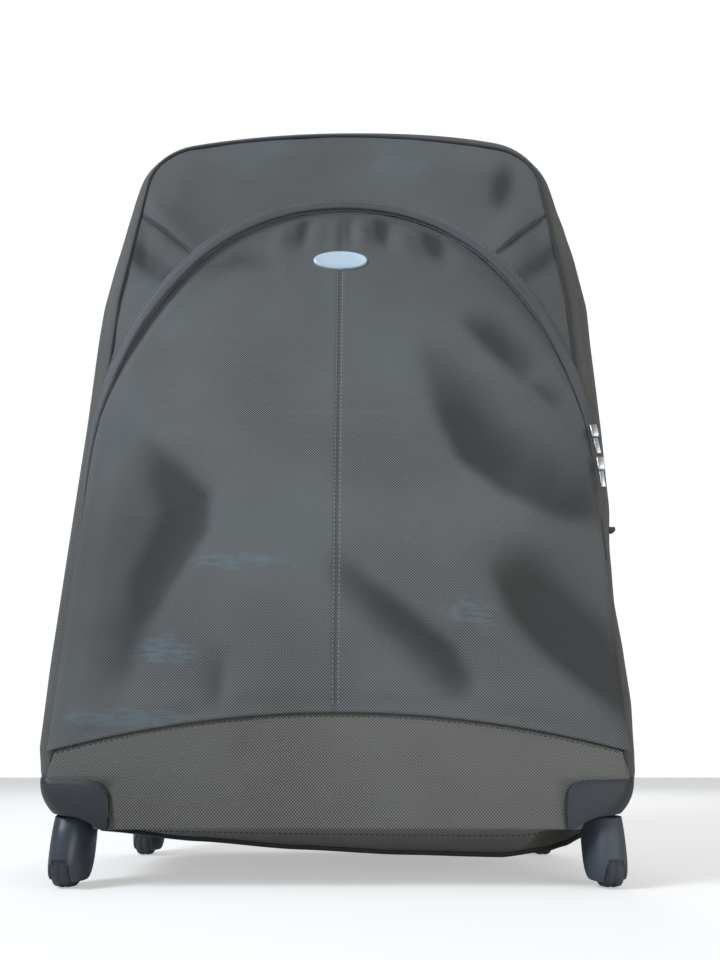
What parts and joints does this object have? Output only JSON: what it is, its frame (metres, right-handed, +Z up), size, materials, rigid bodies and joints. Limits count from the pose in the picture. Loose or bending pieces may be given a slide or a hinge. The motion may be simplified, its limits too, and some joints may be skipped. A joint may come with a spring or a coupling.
{
  "type": "suitcase",
  "caption": "Soft-sided upright suitcase on swivel casters, with a hinged lid, arched zipped front pocket, telescopic trolley handle and carry handles.",
  "frame": {"origin": "centre of the footprint, on the floor under the casters", "axes": "+Z up the standing bag, +Y from the pocket face to the back, +X to the right seen from the front"},
  "size_m": [0.493, 0.3225, 0.79],
  "materials": {
    "shell_fabric": "two-tone ballistic weave, matt with a soft sheen",
    "flap_fabric": "smooth twill zip flap",
    "lining_fabric": "plain smooth lining",
    "webbing": "ribbed webbing",
    "guard_plastic": "moulded, lightly textured, scuffed",
    "black_plastic": "moulded, satin",
    "board": "ribbed polypropylene",
    "tyre": "hard urethane tread",
    "aluminium": "satin anodised",
    "steel": "plain",
    "zip_metal": "polished, lightly worn",
    "zip_teeth": "moulded coil",
    "badge_metal": "satin silver"
  },
  "bodies": {
    "case": {"case_band": "shell_fabric", "base_tray": "board", "back_board": "shell_fabric", "zip_case_half": "zip_teeth", "rear_kingpins": "steel", "rear_guard_left": "guard_plastic", "rear_guard_right": "guard_plastic", "rear_skids": "guard_plastic", "trolley_outer_tubes": "aluminium", "trolley_foot": "black_plastic", "trolley_cover": "lining_fabric", "trolley_bezel": "black_plastic", "top_handle_brackets": "black_plastic", "side_handle_brackets": "black_plastic", "packing_straps": "webbing", "strap_buckles": "black_plastic"},
    "lid": {"lid_band": "shell_fabric", "lid_floor": "shell_fabric", "lid_frame": "steel", "yoke_panel": "shell_fabric", "shoulder_panels": "shell_fabric", "kick_panel": "shell_fabric", "pocket_backing": "lining_fabric", "pocket_panel_lower": "shell_fabric", "arch_flap": "flap_fabric", "front_guard_left": "guard_plastic", "front_guard_right": "guard_plastic", "zip_lid_half": "zip_teeth", "front_kingpins": "steel"},
    "pocket_cover": {"pocket_panel_upper": "shell_fabric", "badge": "badge_metal"},
    "trolley_handle": {"trolley_inner_tubes": "aluminium", "grip_lower_shell": "black_plastic", "grip_upper_shell": "black_plastic"},
    "release": {"release_button": "black_plastic", "release_rods": "steel"},
    "top_carry_handle": {"top_handle": "webbing"},
    "side_carry_handle": {"side_handle": "webbing"},
    "front_left_caster": {"front_left_fork": "guard_plastic"},
    "front_left_wheel": {"front_left_hub": "black_plastic", "front_left_tyre": "tyre"},
    "front_right_caster": {"front_right_fork": "guard_plastic"},
    "front_right_wheel": {"front_right_hub": "black_plastic", "front_right_tyre": "tyre"},
    "rear_left_caster": {"rear_left_fork": "guard_plastic"},
    "rear_left_wheel": {"rear_left_hub": "black_plastic", "rear_left_tyre": "tyre"},
    "rear_right_caster": {"rear_right_fork": "guard_plastic"},
    "rear_right_wheel": {"rear_right_hub": "black_plastic", "rear_right_tyre": "tyre"},
    "main_zip_a_runner": {"main_zip_a_slider": "zip_metal"},
    "main_zip_a_tab": {"main_zip_a_pull": "zip_metal"},
    "main_zip_b_runner": {"main_zip_b_slider": "zip_metal"},
    "main_zip_b_tab": {"main_zip_b_pull": "zip_metal"},
    "pocket_zip_a_runner": {"pocket_zip_a_slider": "zip_metal"},
    "pocket_zip_a_tab": {"pocket_zip_a_pull": "zip_metal"},
    "pocket_zip_b_runner": {"pocket_zip_b_slider": "zip_metal"},
    "pocket_zip_b_tab": {"pocket_zip_b_pull": "zip_metal"}
  },
  "joints": [
    {"name": "lid_hinge", "type": "hinge", "parent": "case", "child": "lid", "pos_m": [-0.241, -0.07, 0.4], "axis": [0, 0, -1], "range_deg": [0, 165]},
    {"name": "pocket_fold", "type": "hinge", "parent": "lid", "child": "pocket_cover", "pos_m": [0, -0.158, 0.318], "axis": [1, 0, 0], "range_deg": [0, 60]},
    {"name": "trolley_slide", "type": "slide", "parent": "case", "child": "trolley_handle", "axis": [0, 0, 1], "range_m": [0, 0.33]},
    {"name": "release_press", "type": "slide", "parent": "trolley_handle", "child": "release", "axis": [0, 0, -1], "range_m": [0, 0.003], "stiffness_N_per_m": 1500, "springref_m": -0.002},
    {"name": "top_handle_lift", "type": "slide", "parent": "case", "child": "top_carry_handle", "axis": [0, 0, 1], "range_m": [0, 0.018]},
    {"name": "side_handle_lift", "type": "slide", "parent": "case", "child": "side_carry_handle", "axis": [1, 0, 0], "range_m": [0, 0.015]},
    {"name": "front_left_swivel", "type": "hinge", "parent": "lid", "child": "front_left_caster", "pos_m": [-0.216, -0.111, 0.05], "axis": [0, 0, 1], "continuous": true},
    {"name": "front_left_roll", "type": "hinge", "parent": "front_left_caster", "child": "front_left_wheel", "pos_m": [-0.216, -0.123, 0.023], "axis": [1, 0, 0], "continuous": true},
    {"name": "front_right_swivel", "type": "hinge", "parent": "lid", "child": "front_right_caster", "pos_m": [0.216, -0.111, 0.05], "axis": [0, 0, 1], "continuous": true},
    {"name": "front_right_roll", "type": "hinge", "parent": "front_right_caster", "child": "front_right_wheel", "pos_m": [0.216, -0.123, 0.023], "axis": [1, 0, 0], "continuous": true},
    {"name": "rear_left_swivel", "type": "hinge", "parent": "case", "child": "rear_left_caster", "pos_m": [-0.216, 0.118, 0.05], "axis": [0, 0, 1], "continuous": true},
    {"name": "rear_left_roll", "type": "hinge", "parent": "rear_left_caster", "child": "rear_left_wheel", "pos_m": [-0.216, 0.106, 0.023], "axis": [1, 0, 0], "continuous": true},
    {"name": "rear_right_swivel", "type": "hinge", "parent": "case", "child": "rear_right_caster", "pos_m": [0.216, 0.118, 0.05], "axis": [0, 0, 1], "continuous": true},
    {"name": "rear_right_roll", "type": "hinge", "parent": "rear_right_caster", "child": "rear_right_wheel", "pos_m": [0.216, 0.106, 0.023], "axis": [1, 0, 0], "continuous": true},
    {"name": "main_zip_a_run", "type": "hinge", "parent": "case", "child": "main_zip_a_runner", "pos_m": [0, -0.07, -0.048], "axis": [0, 1, 0], "range_deg": [0, 22]},
    {"name": "main_zip_a_flip", "type": "hinge", "parent": "main_zip_a_runner", "child": "main_zip_a_tab", "pos_m": [-0.15283, -0.07, 0.7596], "axis": [0, 1, 0], "range_deg": [0, 85]},
    {"name": "main_zip_b_run", "type": "hinge", "parent": "case", "child": "main_zip_b_runner", "pos_m": [-0.15888, -0.07, 0.68702], "axis": [0, 1, 0], "range_deg": [0, 25]},
    {"name": "main_zip_b_flip", "type": "hinge", "parent": "main_zip_b_runner", "child": "main_zip_b_tab", "pos_m": [-0.22311, -0.07, 0.71557], "axis": [0, 1, 0], "range_deg": [0, 85]},
    {"name": "pocket_zip_a_run", "type": "hinge", "parent": "lid", "child": "pocket_zip_a_runner", "pos_m": [-0.144, -0.16, 0.344], "axis": [0, -1, 0], "range_deg": [-0.8, 0.5]},
    {"name": "pocket_zip_a_flip", "type": "hinge", "parent": "pocket_zip_a_runner", "child": "pocket_zip_a_tab", "pos_m": [0.24057, -0.1595, 0.34284], "axis": [-0.9999, 0, -0.0157], "range_deg": [0, 45]},
    {"name": "pocket_zip_b_run", "type": "hinge", "parent": "lid", "child": "pocket_zip_b_runner", "pos_m": [-0.144, -0.16, 0.344], "axis": [0, -1, 0], "range_deg": [0, 26]},
    {"name": "pocket_zip_b_flip", "type": "hinge", "parent": "pocket_zip_b_runner", "child": "pocket_zip_b_tab", "pos_m": [0.2392, -0.1595, 0.37636], "axis": [-0.9947, 0, -0.1028], "range_deg": [0, 45]}
  ]
}
